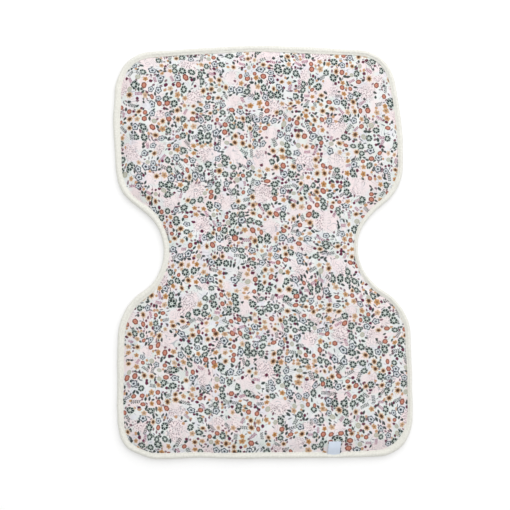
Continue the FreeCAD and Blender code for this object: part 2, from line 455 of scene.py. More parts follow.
def buckle(start, faces, firm):
    """The points after the cloth has grown a little. The firm ones stay where they are."""
    mesh = bpy.data.meshes.new("cloth_test")
    mesh.from_pydata([tuple(p) for p in start * solver_scale], [], [tuple(f) for f in faces])
    cloth = bpy.data.objects.new("cloth_test", mesh)
    bpy.context.scene.collection.objects.link(cloth)
    hold = cloth.vertex_groups.new(name="hold")
    hold.add([int(i) for i in np.flatnonzero(firm)], 1.0, "REPLACE")
    hold.add([int(i) for i in np.flatnonzero(~firm)], wadding_hold, "REPLACE")
    modifier = cloth.modifiers.new("cloth", "CLOTH")
    settings = modifier.settings
    settings.quality = 6
    settings.mass = 0.3
    settings.bending_stiffness = 5
    settings.vertex_group_mass = "hold"
    settings.pin_stiffness = 1
    settings.shrink_min = -cloth_growth
    settings.effector_weights.gravity = 0
    modifier.collision_settings.use_collision = False
    modifier.collision_settings.use_self_collision = False
    modifier.point_cache.frame_end = solver_frames
    for frame_number in range(1, solver_frames + 1):
        bpy.context.scene.frame_set(frame_number)
    moved = np.empty(len(start) * 3)
    ready = cloth.evaluated_get(bpy.context.evaluated_depsgraph_get())
    ready.data.vertices.foreach_get("co", moved)
    bpy.data.objects.remove(cloth)
    bpy.data.meshes.remove(mesh)
    bpy.context.scene.frame_set(1)
    return moved.reshape(-1, 3) / solver_scale


creased = face_start.copy()
creased[:, 2] += crease_heights(face_flat) * (face_depth > crease_inset)
sewn = face_depth - face_lips < 1 * MM
buckled = buckle(creased, face_faces, sewn)
face_points = creased + (buckled - creased) * fold_share
print("folds up to", round(float(np.abs(face_points - face_start)[:, 2].max() / MM), 2), "mm")

# %% [markdown]
# ### The face as a piece
#
# Two rounds of subdivision make the cloth smooth. The piece also keeps where each point was
# on the flat cloth, as a UV map, so that the print follows the cloth up the swell and over
# the folds. Then come the puckers: at every few stitches the seam pulls the cloth in. Last,
# the creases are pressed in once more, because the subdivision has softened them.

# %% Flat pattern, subdivision and puckers
from mathutils.kdtree import KDTree

cloth_size = 2 * half_length  # the side of the square that holds the flat cloth
pucker_height = 0.16 * MM
pucker_peak = 3 * MM  # how far inside the lip the puckers are highest
pucker_reach = 4 * MM


def lay_flat(piece, flat):
    """Keeps where each point was on the flat cloth, as shares of the square."""
    shares = flat / cloth_size + 0.5
    layer = piece.data.uv_layers.new(name="OFBake")
    corner_points = np.empty(len(piece.data.loops), dtype=np.int32)
    piece.data.loops.foreach_get("vertex_index", corner_points)
    layer.data.foreach_set("uv", shares[corner_points].astype(np.float32).ravel())


def flat_places(piece):
    """Where each point of a piece was on the flat cloth."""
    mesh = piece.data
    corner_points = np.empty(len(mesh.loops), dtype=np.int32)
    mesh.loops.foreach_get("vertex_index", corner_points)
    shares = np.empty(len(mesh.loops) * 2, dtype=np.float32)
    mesh.uv_layers["OFBake"].data.foreach_get("uv", shares)
    flat = np.zeros((len(mesh.vertices), 2))
    flat[corner_points] = shares.reshape(-1, 2)
    return (flat - 0.5) * cloth_size


def subdivide(piece, levels):
    """Splits each face in four, as many times as there are levels, and rounds the mesh."""
    modifier = piece.modifiers.new("subdivide", "SUBSURF")
    modifier.levels = levels
    ready = piece.evaluated_get(bpy.context.evaluated_depsgraph_get())
    smooth = bpy.data.meshes.new_from_object(ready)
    piece.modifiers.remove(modifier)
    old, piece.data = piece.data, smooth
    name = old.name
    bpy.data.meshes.remove(old)
    smooth.name = name


def read_points(piece):
    points = np.empty(len(piece.data.vertices) * 3)
    piece.data.vertices.foreach_get("co", points)
    return points.reshape(-1, 3)


def write_points(piece, points):
    piece.data.vertices.foreach_set("co", points.ravel())
    piece.data.update()


fine_points, fine_outward, fine_run, _ = walk(1 * MM)
edge_tree = KDTree(len(fine_points))
for number, (x, y) in enumerate(fine_points):
    edge_tree.insert((x, y, 0), number)
edge_tree.balance()


def beside_edge(flat):
    """For each point: how deep inside the outline it is, and the nearest place on it."""
    found = [edge_tree.find((x, y, 0)) for x, y in flat]
    return np.array([f[2] for f in found]), np.array([f[1] for f in found])


def pucker_heights(depth, place, lip):
    """The pull of the stitches: strongest just inside the lip, and soon gone further in."""
    run = fine_run[place]
    waves = np.zeros(len(run))
    for wave, share in ((61, 0.5), (97, 1.0), (143, 0.8), (211, 0.6)):
        drift = 2.0 * np.sin(2 * np.pi * run / seam_length * 5 + wave)
        waves += share * np.sin(2 * np.pi * wave * run / seam_length + drift)
    away = (depth - lip - pucker_peak) / pucker_reach
    return pucker_height * waves * np.exp(-(away**2))


printed_face = make_piece(
    "printed_face", face_points, face_faces, stands_for=["face_panel"],
)
lay_flat(printed_face, face_flat)
subdivide(printed_face, 2)
fine_flat = flat_places(printed_face)
fine_depth, nearest = beside_edge(fine_flat)
fine_lips = lip_width(fine_points, fine_outward, fine_run)
points = read_points(printed_face)
points[:, 2] += pucker_heights(fine_depth, nearest, fine_lips[nearest])
points[:, 2] += crease_heights(fine_flat)
write_points(printed_face, lay_down(points))
print("the face has", len(points), "points")

# %% [markdown]
# ## The plush binding
#
# The binding is one strip of plush folded round the edge. Its section is drawn once, as a
# smooth curve from the lip on top, round the rim, to the lip below, and is carried round
# the outline. Small tufts push the surface out, so that the pile shows in the outline too.

# %% The section of the binding
# Each point is (how far in, how high), in shares of the lip's width and the roll's height.
# The dips near 0.8 are where the seam pulls the plush down.
stitch_share = 0.79
binding_section = [
    (0.74, 0.62), (0.92, 0.64), (1.01, 0.70), (1.00, 0.79), (0.93, 0.85), (0.85, 0.855),
    (0.79, 0.84), (0.73, 0.88), (0.62, 0.96), (0.47, 1.00), (0.30, 0.97), (0.14, 0.86),
    (0.03, 0.68), (0.00, 0.50), (0.03, 0.31), (0.13, 0.14), (0.30, 0.03), (0.48, 0.00),
    (0.64, 0.03), (0.73, 0.10), (0.79, 0.14), (0.85, 0.13), (0.93, 0.14), (1.00, 0.21),
    (1.01, 0.29), (0.92, 0.36), (0.74, 0.38),
]


def smooth_curve(points, count):
    """Evenly spaced points on a smooth curve through the given ones."""
    points = np.array(points, dtype=float)
    padded = np.vstack([2 * points[0] - points[1], points, 2 * points[-1] - points[-2]])
    fine = []
    for a, b, c, d in zip(padded, padded[1:], padded[2:], padded[3:]):
        for t in np.linspace(0, 1, 12, endpoint=False):
            fine.append(0.5 * (2 * b + (c - a) * t + (2 * a - 5 * b + 4 * c - d) * t**2
                               + (3 * b - a - 3 * c + d) * t**3))
    fine = np.array(fine + [points[-1]])
    run = np.concatenate([[0], np.cumsum(np.linalg.norm(np.diff(fine, axis=0), axis=1))])
    at = np.linspace(0, run[-1], count)
    return np.column_stack([np.interp(at, run, fine[:, k]) for k in (0, 1)])


section = smooth_curve(binding_section, 40)
print("the section is", len(section), "points")

# %% Tufts of the pile
from mathutils import noise

swing_size = 9 * MM  # how far apart the swells of the plush are


def tufts(points, size, seed):
    """From 0 in the gaps between tufts to about 1 on their crowns."""
    shift = Vector((seed * 3.7, seed * 1.3, seed * 2.1))
    found = [noise.voronoi(Vector(p) / size + shift)[0][0] for p in points]
    return 1 - np.clip(np.array(found), 0, 1)


def unevenness(points, size, seed):
    """A slow swing between -1 and 1 over the surface."""
    shift = Vector((seed * 5.1, seed * 2.9, seed * 0.7))
    return np.array([noise.noise(Vector(p) / size + shift) for p in points])


def mesh_normals(points, faces):
    mesh = bpy.data.meshes.new("scratch")
    mesh.from_pydata([tuple(p) for p in points], [], faces)
    normals = np.empty(len(points) * 3)
    mesh.vertex_normals.foreach_get("vector", normals)
    bpy.data.meshes.remove(mesh)
    return normals.reshape(-1, 3)


def add_pile(points, faces, tuft_size, tuft_height, swing, seed):
    """Pushes tufts out along the surface's own direction, and lets the surface swing."""
    lift = tuft_height * (tufts(points, tuft_size, seed) - 0.6)
    lift += swing * unevenness(points, swing_size, seed)
    return points + mesh_normals(points, faces) * lift[:, None]


# %% The binding as one piece
rim_points, rim_outward, rim_run, _ = walk(1.1 * MM)
rim_lip = lip_width(rim_points, rim_outward, rim_run)
rim_wander = wander(rim_run, (3, 5, 8, 13, 21, 34), 0.3 * MM, 4)
plumpness = 1 + wander(rim_run, (7, 12, 19, 31, 47), 0.03, 5)
binding_rows = []
for inward, upward in section:
    inset = inward * rim_lip + rim_wander * (1 - inward)
    binding_rows.append(row(rim_points, rim_outward, inset, upward * roll_height * plumpness))
binding_faces = [face[::-1] for face in band_faces(len(section), len(rim_points))]
binding_points = add_pile(
    np.vstack(binding_rows), binding_faces, tuft_size=1.5 * MM, tuft_height=0.35 * MM,
    swing=0.25 * MM, seed=1,
)
binding_points[:, 2] = np.maximum(binding_points[:, 2], 0)
plush_binding = make_piece(
    "plush_binding", lay_down(binding_points), binding_faces,
    stands_for=["edge_binding"],
)

# %% [markdown]
# ## The plush back
#
# The back lies on the floor. It is a panel like the face, with its pile downwards, and the
# seam lifts its edge.

# %% The back panel
back_spacing = 2.6 * MM
back_height = 0.4 * MM  # the middle of the pile, over the floor
back_lift = 2.2 * MM  # how far the seam lifts the back off the floor
back_lift_reach = 6 * MM
back_points, back_outward, _, _ = walk(back_spacing)
back_insets = [lip_mean + step * MM for step in (-1.5, 0.0, 1.5, 3.2, 5.0, 7.4, 10.0)]
back_flat, back_depth, back_faces = panel(back_points, back_outward, back_insets, back_spacing)
lift = back_lift * np.clip(1 - (back_depth - lip_mean) / back_lift_reach, 0, 1.1) ** 1.6
back_faces = [face[::-1] for face in back_faces]
back = add_pile(
    np.column_stack([back_flat, lift + back_height]), back_faces, tuft_size=1.8 * MM,
    tuft_height=0.5 * MM, swing=0.2 * MM, seed=2,
)
back[:, 2] = np.maximum(back[:, 2], 0)
plush_back = make_piece(
    "plush_back", lay_down(back), back_faces, stands_for=["back_panel"],
)

# %% [markdown]
# ## What is inside
#
# The wadding lies under the cotton and follows its folds, always a little below it. Over the
# foam it lies on the foam, and round the trimmed foam it drops into the seam. Both layers
# are closed bodies: a panel, the same panel lower down, and a wall between their outer rows.

# %% Wadding and foam


def closed_body(flat, faces, ring, tops, bottoms):
    """Points and faces of a body between two heights over the same flat panel."""
    points = np.vstack([np.column_stack([flat, tops]), np.column_stack([flat, bottoms])])
    lower = [tuple(len(flat) + v for v in face[::-1]) for face in faces]
    wall = [(i, len(flat) + i, len(flat) + (i + 1) % ring, (i + 1) % ring) for i in range(ring)]
    return points, list(faces) + lower + wall


foam_inset = half_width - core_high[0]
wadding_gap = 0.7 * MM  # how far the wadding stays below the face
closest_gap = 0.35 * MM  # how far at least, where the foam pushes it up
least_wadding = 0.3 * MM
foam_gap = 0.05 * MM
wadding_drop = 1.0 * MM  # how far below the seam the wadding ends, round the foam
under_face = face_points[:, 2] - np.abs(crease_heights(face_flat))
over_foam = face_depth > foam_inset
wadding_floor = np.where(over_foam, core_high[2] + foam_gap, seam_height - wadding_drop)
wadding_tops = np.maximum(under_face - wadding_gap, wadding_floor + least_wadding)
wadding_tops = np.minimum(wadding_tops, under_face - closest_gap)
wadding_bottoms = np.minimum(wadding_floor, wadding_tops - least_wadding)
wadding_points, wadding_faces = closed_body(
    face_flat, face_faces, len(seam_points), wadding_tops, wadding_bottoms
)
wadding_layer = make_piece(
    "wadding_layer", lay_down(wadding_points), wadding_faces,
    stands_for=["wadding"],
)

foam_press = 1.5 * MM  # how much the cloths press the foam's edge down, and up from below
foam_press_reach = 5 * MM
foam_insets = [foam_inset + step * MM for step in (0.0, 0.4, 1.2, 2.6, 5.0, 8.0)]
foam_flat, foam_depth, foam_faces = panel(seam_points, seam_outward, foam_insets, 12 * MM)
pressed = foam_press * np.clip(1 - (foam_depth - foam_inset) / foam_press_reach, 0, 1) ** 2
foam_points, foam_faces = closed_body(
    foam_flat, foam_faces, len(seam_points), core_high[2] - pressed, core_low[2] + pressed
)
foam_sheet = make_piece(
    "foam_sheet", lay_down(foam_points), foam_faces, stands_for=["foam_core"],
)

# %% [markdown]
# ## The seam's threads
#
# A lockstitch seam has a needle thread on top and a bobbin thread below. Each stitch is a
# short bow of thread that dips into the plush at both ends. One stitch is drawn as a small
# tube and is set again and again along the row.

# %% Rows of stitches
stitch_length = 2.9 * MM
stitch_gap = 0.5 * MM
stitch_steps = 7
bow_rise = 0.45 * MM
bow_dip = 0.27 * MM  # how far a stitch's two ends dip into the plush
thread_radius = 0.15 * MM
thread_sides = 6
thread_level = 0.335  # how far from the seam the pile's surface is, as a share of the roll
thread_sink = 0.42 * MM  # how deep the thread lies in the pile


def stitch_row(side):
    """Points and faces of all the stitches on top (side 1) or below (side -1)."""
    row_points, row_outward, row_run, _ = walk(0.5 * MM)
    inset = stitch_share * lip_width(row_points, row_outward, row_run)
    inset = inset + wander(row_run, (9, 23, 41, 77), 0.12 * MM, 7)
    line = row_points - row_outward * inset[:, None]
    count = round(seam_length / stitch_length)
    circle = np.linspace(0, 2 * np.pi, thread_sides, endpoint=False)
    bow = bow_rise * np.sin(np.linspace(0, np.pi, stitch_steps)) - bow_dip
    rise = seam_height + side * (thread_level * roll_height + bow - thread_sink)
    points, faces = [], []
    for number in range(count):
        begin = number * seam_length / count
        runs = begin + np.linspace(stitch_gap / 2, stitch_length - stitch_gap / 2, stitch_steps)
        along = [np.interp(runs, row_run, line[:, k], period=seam_length) for k in (0, 1)]
        along = np.column_stack(along)
        ahead = np.gradient(along, axis=0)
        ahead /= np.linalg.norm(ahead, axis=1)[:, None]
        sideways = np.column_stack([ahead[:, 1], -ahead[:, 0]])
        first = len(points)
        for step in range(stitch_steps):
            for turn in circle:
                across = thread_radius * math.cos(turn)
                x, y = along[step] + sideways[step] * across
                points.append((x, y, rise[step] + thread_radius * math.sin(turn)))
        for start in range(first, first + (stitch_steps - 1) * thread_sides, thread_sides):
            for i in range(thread_sides):
                a, b = start + i, start + (i + 1) % thread_sides
                faces.append((a, b, b + thread_sides, a + thread_sides))
        last = first + (stitch_steps - 1) * thread_sides
        faces.append(tuple(reversed(range(first, first + thread_sides))))
        faces.append(tuple(range(last, last + thread_sides)))
    return lay_down(points), faces


thread_points, thread_faces = stitch_row(1)
needle_thread = make_piece("needle_thread", thread_points, thread_faces)
thread_points, thread_faces = stitch_row(-1)
bobbin_thread = make_piece("bobbin_thread", thread_points, thread_faces)

# %% [markdown]
# ## The ribbon label
#
# A short length of ribbon is folded in half and its two ends are caught in the seam. It
# leaves the seam under the lip, climbs the swell and ends in a soft fold, a little askew.

# %% The label's centre line
label_width = flap_high[0] - flap_low[0]
ribbon_thickness = 0.25 * MM
ply_height = 0.45 * MM  # from the cloth to the middle of the lower ply
ply_gap = 0.35 * MM  # from the lower ply's middle to the upper one's
ply_bow = 0.9 * MM  # how far the upper ply arches
label_lean = math.radians(7)
lean_pivot = 8 * MM  # how far in the point lies that the ribbon turns about as it leans
fold_depth = 1.6  # how deep the soft fold is, as a share of half its height
label_reach = half_length + flap_high[1] - 0.3 * MM  # how far in the fold lies
label_start = 2.8 * MM  # where the ends come out of the seam
_, label_place = beside_edge(np.array([[label_middle, -half_length]]))
label_lip = float(fine_lips[label_place[0]])


def ribbon_path():
    """The folded ribbon from its lower end, round the fold, to its upper end."""
    insets = np.linspace(label_start, label_reach, 22)
    height = face_rise(insets, label_lip) + ply_height
    bow = ply_bow * np.sin(np.linspace(0, np.pi, len(insets))) ** 1.5
    lower = np.column_stack([insets, height])
    upper = np.column_stack([insets, height + ply_gap + bow])
    tip = (lower[-1] + upper[-1]) / 2
    half = (upper[-1, 1] - lower[-1, 1]) / 2
    turn = np.linspace(-np.pi / 2, np.pi / 2, 9)[1:-1]
    fold = np.column_stack([np.cos(turn) * half * fold_depth, np.sin(turn) * half]) + tip
    return np.vstack([lower, fold, upper[::-1]])


def offset_curve(line, distance):
    """A line that runs beside the given one, at that distance."""
    along = np.gradient(line, axis=0)
    along /= np.linalg.norm(along, axis=1)[:, None]
    return line + distance * np.column_stack([along[:, 1], -along[:, 0]])


path = ribbon_path()
outer, inner = offset_curve(path, ribbon_thickness / 2), offset_curve(path, -ribbon_thickness / 2)
loop = np.vstack([outer, inner[::-1]])
across = np.linspace(-0.5, 0.5, 13) * label_width
lean = (loop[:, 0] - lean_pivot) * math.tan(label_lean)
ribbon_points = np.vstack([
    np.column_stack([label_middle + x + lean, loop[:, 0] - half_length, loop[:, 1]]) for x in across
])
ribbon_faces = band_faces(len(across), len(loop))
last = (len(across) - 1) * len(loop)
half_loop = len(path)
for first, flip in ((0, True), (last, False)):
    for i in range(half_loop - 1):
        side = (first + i, first + i + 1, first + 2 * half_loop - 2 - i, first + 2 * half_loop - 1 - i)
        ribbon_faces.append(side[::-1] if flip else side)
ribbon_label = make_piece(
    "ribbon_label", lay_down(ribbon_points), ribbon_faces, body=None,
    stands_for=["label_tail", "label_flap"],
)
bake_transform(ribbon_label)

# %% [markdown]
# ## Materials
#
# A material is a formula over the surface. A small helper class lets such a formula be
# written with ordinary signs: each sum or product adds one Math node.

# %% A number or a colour that varies over a surface


class Field:
    """A value that varies over a surface: the output socket of a node in a tree."""

    def __init__(self, tree, socket):
        self.tree, self.socket = tree, socket

    def work(self, operation, *others):
        node = self.tree.nodes.new("ShaderNodeMath")
        node.operation = operation
        plug(self.tree, self, node.inputs[0])
        for number, other in enumerate(others, 1):
            plug(self.tree, other, node.inputs[number])
        return Field(self.tree, node.outputs[0])

    def __add__(self, other):
        return self.work("ADD", other)

    def __sub__(self, other):
        return self.work("SUBTRACT", other)

    def __mul__(self, other):
        return self.work("MULTIPLY", other)

    def __truediv__(self, other):
        return self.work("DIVIDE", other)

    def __rsub__(self, other):
        return (self * -1) + other

    __radd__, __rmul__ = __add__, __mul__

    def size(self):
        return self.work("ABSOLUTE")

    def ramp(self, low, high):
        """0 up to low, 1 from high on, and a soft step between them."""
        node = self.tree.nodes.new("ShaderNodeMapRange")
        node.interpolation_type = "SMOOTHSTEP"
        for value, label in ((self, "Value"), (low, "From Min"), (high, "From Max")):
            plug(self.tree, value, node.inputs[label])
        return Field(self.tree, node.outputs["Result"])

    def within(self, low, high):
        """1 from low to high, and 0 elsewhere."""
        return self.work("GREATER_THAN", low) * self.work("LESS_THAN", high)


def plug(tree, value, socket):
    """Links a Field to a socket, or writes a plain value on it."""
    if isinstance(value, Field):
        tree.links.new(value.socket, socket)
    else:
        socket.default_value = value


def paint(red, green, blue):
    """A colour as it is seen on a screen, from 0 to 255, for a shader's socket."""
    shares = [c / 255 for c in (red, green, blue)]
    return tuple(c / 12.92 if c <= 0.04045 else ((c + 0.055) / 1.055) ** 2.4 for c in shares) + (1.0,)


# %% Node groups and materials


def new_group(name, inputs, outputs):
    """A node group with named sockets. Gives its tree, its inputs as Fields, and its end."""
    tree = bpy.data.node_groups.new(name, "ShaderNodeTree")
    for label, value in inputs.items():
        kind = "NodeSocketVector" if value is None else "NodeSocketFloat"
        socket = tree.interface.new_socket(label, in_out="INPUT", socket_type=kind)
        if value is not None:
            socket.default_value = value
    for label, kind in outputs.items():
        tree.interface.new_socket(label, in_out="OUTPUT", socket_type="NodeSocket" + kind)
    start = tree.nodes.new("NodeGroupInput")
    given = {label: Field(tree, start.outputs[label]) for label in inputs}
    return tree, given, tree.nodes.new("NodeGroupOutput")


def use_group(tree, group, **values):
    """Places a group in a tree and gives its outputs. Underscores stand for spaces."""
    node = tree.nodes.new("ShaderNodeGroup")
    node.node_tree = group
    for label, value in values.items():
        plug(tree, value, node.inputs[label.replace("_", " ")])
    return {output.name: Field(tree, output) for output in node.outputs}


def new_material(name, roughness, sheen):
    """A rough cloth-like material. Gives it with its tree and its shader."""
    material = bpy.data.materials.new(name)
    material.use_nodes = True
    shader = material.node_tree.nodes["Principled BSDF"]
    shader.inputs["Roughness"].default_value = roughness
    shader.inputs["Sheen Weight"].default_value = sheen
    shader.inputs["Sheen Roughness"].default_value = 0.6
    shader.inputs["Specular IOR Level"].default_value = 0.2
    return material, material.node_tree, shader


# %% Small node helpers


def object_place(tree):
    """Where a point is in space at rest, in metres."""
    return Field(tree, tree.nodes.new("ShaderNodeTexCoord").outputs["Object"])


def mix_colour(tree, share, first, second):
    """From the first colour at share 0 to the second at 1."""
    node = tree.nodes.new("ShaderNodeMix")
    node.data_type = "RGBA"
    plug(tree, share, node.inputs["Factor"])
    plug(tree, first, node.inputs[6])
    plug(tree, second, node.inputs[7])
    return Field(tree, node.outputs[2])


def cloudy(tree, place, size, detail=2.0, flat=False):
    """Cloudy noise from 0 to 1 whose clouds are about the size given, in metres."""
    node = tree.nodes.new("ShaderNodeTexNoise")
    node.noise_dimensions = "2D" if flat else "3D"
    node.inputs["Detail"].default_value = detail
    plug(tree, place, node.inputs["Vector"])
    if isinstance(size, Field):
        plug(tree, size.work("POWER", -1.0), node.inputs["Scale"])
    else:
        node.inputs["Scale"].default_value = 1 / size
    return Field(tree, node.outputs[0])


def move(tree, operation, first, second):
    """A Vector Math node: ADD, SUBTRACT or SCALE."""
    node = tree.nodes.new("ShaderNodeVectorMath")
    node.operation = operation
    plug(tree, first, node.inputs[0])
    plug(tree, second, node.inputs["Scale" if operation == "SCALE" else 1])
    return Field(tree, node.outputs[0])


def split(tree, vector):
    node = tree.nodes.new("ShaderNodeSeparateXYZ")
    plug(tree, vector, node.inputs[0])
    return [Field(tree, output) for output in node.outputs]


def add_bump(tree, shader, height, distance):
    """Raises the surface by the height field times the distance."""
    node = tree.nodes.new("ShaderNodeBump")
    node.inputs["Distance"].default_value = distance
    plug(tree, height, node.inputs["Height"])
    tree.links.new(node.outputs["Normal"], shader.inputs["Normal"])


# %% [markdown]
# ### Effects that several finishes share
#
# Three effects come back in most of the fabrics, so each is a node group. *Handling* is
# the faint unevenness of a surface that has been folded and touched. *Weave* is a plain
# weave, with one thread over and the next one under. *Pile* is the tufted look of plush,
# and its Shade is painted shade, darker in the gaps between the tufts.

# %% Handling, as a group


def make_handling():
    tree, given, end = new_group("handling", {"Place": None, "Size": 40 * MM}, {"Mask": "Float"})
    broad = cloudy(tree, given["Place"], given["Size"], 2.0)
    fine = cloudy(tree, given["Place"], given["Size"] * 0.2, 2.0)
    plug(tree, broad.ramp(0.35, 0.7) * 0.7 + fine.ramp(0.4, 0.75) * 0.3, end.inputs["Mask"])
    return tree


handling = make_handling()

# %% Weave, as a group


def make_weave():
    inputs = {"Place": None, "Warp": 0.4 * MM, "Weft": 0.4 * MM}
    tree, given, end = new_group("weave", inputs, {"Height": "Float"})
    x, y, _ = split(tree, given["Place"])
    x, y = x / given["Warp"], y / given["Weft"]
    over = ((x.work("FLOOR") + y.work("FLOOR")) * 0.5).work("FRACT") * 2
    across = (x.work("FRACT") - 0.5).size()
    along = (y.work("FRACT") - 0.5).size()
    warp_height = (1 - across * 1.6) * (1 - along * 0.9)
    weft_height = (1 - along * 1.6) * (1 - across * 0.9)
    plug(tree, over * warp_height + (1 - over) * weft_height, end.inputs["Height"])
    return tree


weave = make_weave()

# %% Pile, as a group


def make_pile():
    inputs = {"Place": None, "Tuft": 1.6 * MM}
    tree, given, end = new_group("pile", inputs, {"Height": "Float", "Shade": "Float"})
    swirl = tree.nodes.new("ShaderNodeTexNoise")
    plug(tree, given["Place"], swirl.inputs["Vector"])
    plug(tree, given["Tuft"].work("POWER", -1.0), swirl.inputs["Scale"])
    stray = move(tree, "SCALE", Field(tree, swirl.outputs["Color"]), given["Tuft"] * 0.9)
    place = move(tree, "ADD", given["Place"], stray)
    cells = tree.nodes.new("ShaderNodeTexVoronoi")
    plug(tree, place, cells.inputs["Vector"])
    plug(tree, given["Tuft"].work("POWER", -1.0), cells.inputs["Scale"])
    tuft = 1 - Field(tree, cells.outputs["Distance"]).ramp(0.1, 0.9)
    strand = cloudy(tree, place, given["Tuft"] * 0.22, 3.0)
    plug(tree, tuft * 0.6 + strand * 0.4, end.inputs["Height"])
    # Shade is painted shade: low where the pile sinks, between the tufts and strands.
    plug(tree, tuft * 0.45 + strand * 0.55, end.inputs["Shade"])
    return tree


pile = make_pile()
print(len(bpy.data.node_groups), "shared effects")

# %% Plush


def make_plush(name, light, dark, tuft):
    """Short pile, with painted shade: lighter on the crowns of its tufts, and darker between them."""
    material, tree, shader = new_material(name, 0.95, 0.55)
    place = object_place(tree)
    fluff = use_group(tree, pile, Place=place, Tuft=tuft)
    touched = use_group(tree, handling, Place=place, Size=18 * MM)["Mask"]
    # painted shade: the plush colour is darker in the gaps between the tufts
    shade = fluff["Shade"].ramp(0.2, 0.75)
    colour = mix_colour(tree, shade, dark, light)
    colour = mix_colour(tree, touched * 0.35, colour, dark)
    plug(tree, colour, shader.inputs["Base Color"])
    add_bump(tree, shader, fluff["Height"], 0.35 * MM)
    return material


cream_plush = make_plush("cream_plush", paint(237, 236, 228), paint(223, 222, 213), 1.7 * MM)
back_plush = make_plush("back_plush", paint(246, 244, 236), paint(222, 218, 206), 2.2 * MM)
plush_binding.data.materials.append(cream_plush)
plush_back.data.materials.append(back_plush)

# %% [markdown]
# ### Thread, foam and wadding
#
# The thread is twisted from two plies, so a slanting wave runs along it, and shade is painted
# in the grooves between the plies. The foam has open pores, and the wadding is a tangle of
# loose fibres; both have shade painted where their surface sinks in.

# %% Thread


def make_thread():
    material, tree, shader = new_material("cream_thread", 0.6, 0.15)
    place = object_place(tree)
    x, y, z = split(tree, place)
    plies = ((x + y + z * 1.5) * (2 * math.pi / (0.5 * MM))).work("SINE") * 0.5 + 0.5
    # painted shade: the thread is darker in the grooves between its plies
    colour = mix_colour(tree, plies, paint(222, 221, 212), paint(238, 238, 230))
    plug(tree, colour, shader.inputs["Base Color"])
    add_bump(tree, shader, plies, 0.08 * MM)
    return material


cream_thread = make_thread()
needle_thread.data.materials.append(cream_thread)
bobbin_thread.data.materials.append(cream_thread)

# %% Foam and wadding


def make_filling(name, light, dark, grain, depth):
    """A soft filling whose pores or tangles are about as large as the grain, with painted shade in them.
    """
    material, tree, shader = new_material(name, 0.95, 0.0)
    place = object_place(tree)
    pores = cloudy(tree, place, grain, 3.0)
    touched = use_group(tree, handling, Place=place, Size=30 * MM)["Mask"]
    # painted shade: darker where the pores and tangles sink in, as the bump does
    colour = mix_colour(tree, pores.ramp(0.35, 0.65), dark, light)
    plug(tree, mix_colour(tree, touched * 0.3, colour, dark), shader.inputs["Base Color"])
    add_bump(tree, shader, pores, depth)
    return material


foam_sheet.data.materials.append(
    make_filling("foam", paint(240, 236, 222), paint(214, 206, 184), 0.9 * MM, 0.3 * MM)
)
wadding_layer.data.materials.append(
    make_filling("wadding", paint(246, 246, 246), paint(222, 222, 222), 2.5 * MM, 0.8 * MM)
)

# %% [markdown]
# ### The print
#
# The cotton is printed all over with small flowers, each in a place of its own but in no
# order. A scatter group does this: it divides the cloth into uneven cells, and tells each
# point where it is within its cell, turned by the cell's own random angle, and two random
# numbers that choose what grows there. One scatter places the flowers, a finer one the
# leaves and berries between them, and a coarse one the pale clouds where little grows. The
# finest one sprinkles specks on the clouds.

# %% Scatter, as a group


def make_scatter():
    inputs = {"Place": None, "Spacing": 9 * MM, "Stray": 0.6}
    outputs = {"Along": "Float", "Across": "Float", "Away": "Float", "Pick": "Float",
               "Chance": "Float", "Centre": "Vector"}
    tree, given, end = new_group("scatter", inputs, outputs)
    cells = tree.nodes.new("ShaderNodeTexVoronoi")
    cells.voronoi_dimensions = "2D"
    plug(tree, given["Place"], cells.inputs["Vector"])
    plug(tree, given["Spacing"].work("POWER", -1.0), cells.inputs["Scale"])
    plug(tree, given["Stray"], cells.inputs["Randomness"])
    centre = Field(tree, cells.outputs["Position"])
    pick, chance, third = split(tree, Field(tree, cells.outputs["Color"]))
    local = move(tree, "SUBTRACT", given["Place"], centre)
    turned = tree.nodes.new("ShaderNodeVectorRotate")
    plug(tree, local, turned.inputs["Vector"])
    plug(tree, third * (2 * math.pi), turned.inputs["Angle"])
    along, across, _ = split(tree, Field(tree, turned.outputs[0]))
    plug(tree, along, end.inputs["Along"])
    plug(tree, across, end.inputs["Across"])
    plug(tree, (along * along + across * across).work("SQRT"), end.inputs["Away"])
    plug(tree, pick, end.inputs["Pick"])
    plug(tree, chance, end.inputs["Chance"])
    plug(tree, centre, end.inputs["Centre"])
    return tree


scatter = make_scatter()

# %% [markdown]
# The shapes are groups too. A flower and a leaf give a reach: 0 at the motif's centre, 1 on
# its outline. So one reach draws a petal edge, a filled petal and the eye of the flower. A
# sprig is only a line with leaflets, so it gives its ink straight away.

# %% Flower, leaf and sprig, as groups


def make_flower():
    inputs = {"Along": 0.0, "Across": 0.0, "Radius": 3 * MM, "Petals": 5.0, "Dent": 0.2}
    tree, given, end = new_group("flower", inputs, {"Reach": "Float", "Fold": "Float"})
    along, across = given["Along"], given["Across"]
    away = (along * along + across * across).work("SQRT")
    turn = across.work("ARCTAN2", along) * given["Petals"] * 0.5
    lobe = turn.work("COSINE").size()
    reach = away / (given["Radius"] * (1 - given["Dent"] * (1 - lobe)))
    plug(tree, reach, end.inputs["Reach"])
    plug(tree, lobe, end.inputs["Fold"])
    return tree


def make_leaf():
    inputs = {"Along": 0.0, "Across": 0.0, "Length": 2 * MM, "Width": 1 * MM}
    tree, given, end = new_group("leaf", inputs, {"Reach": "Float"})
    along, across = given["Along"] / given["Length"], given["Across"] / given["Width"]
    plug(tree, along * along + across.size(), end.inputs["Reach"])
    return tree


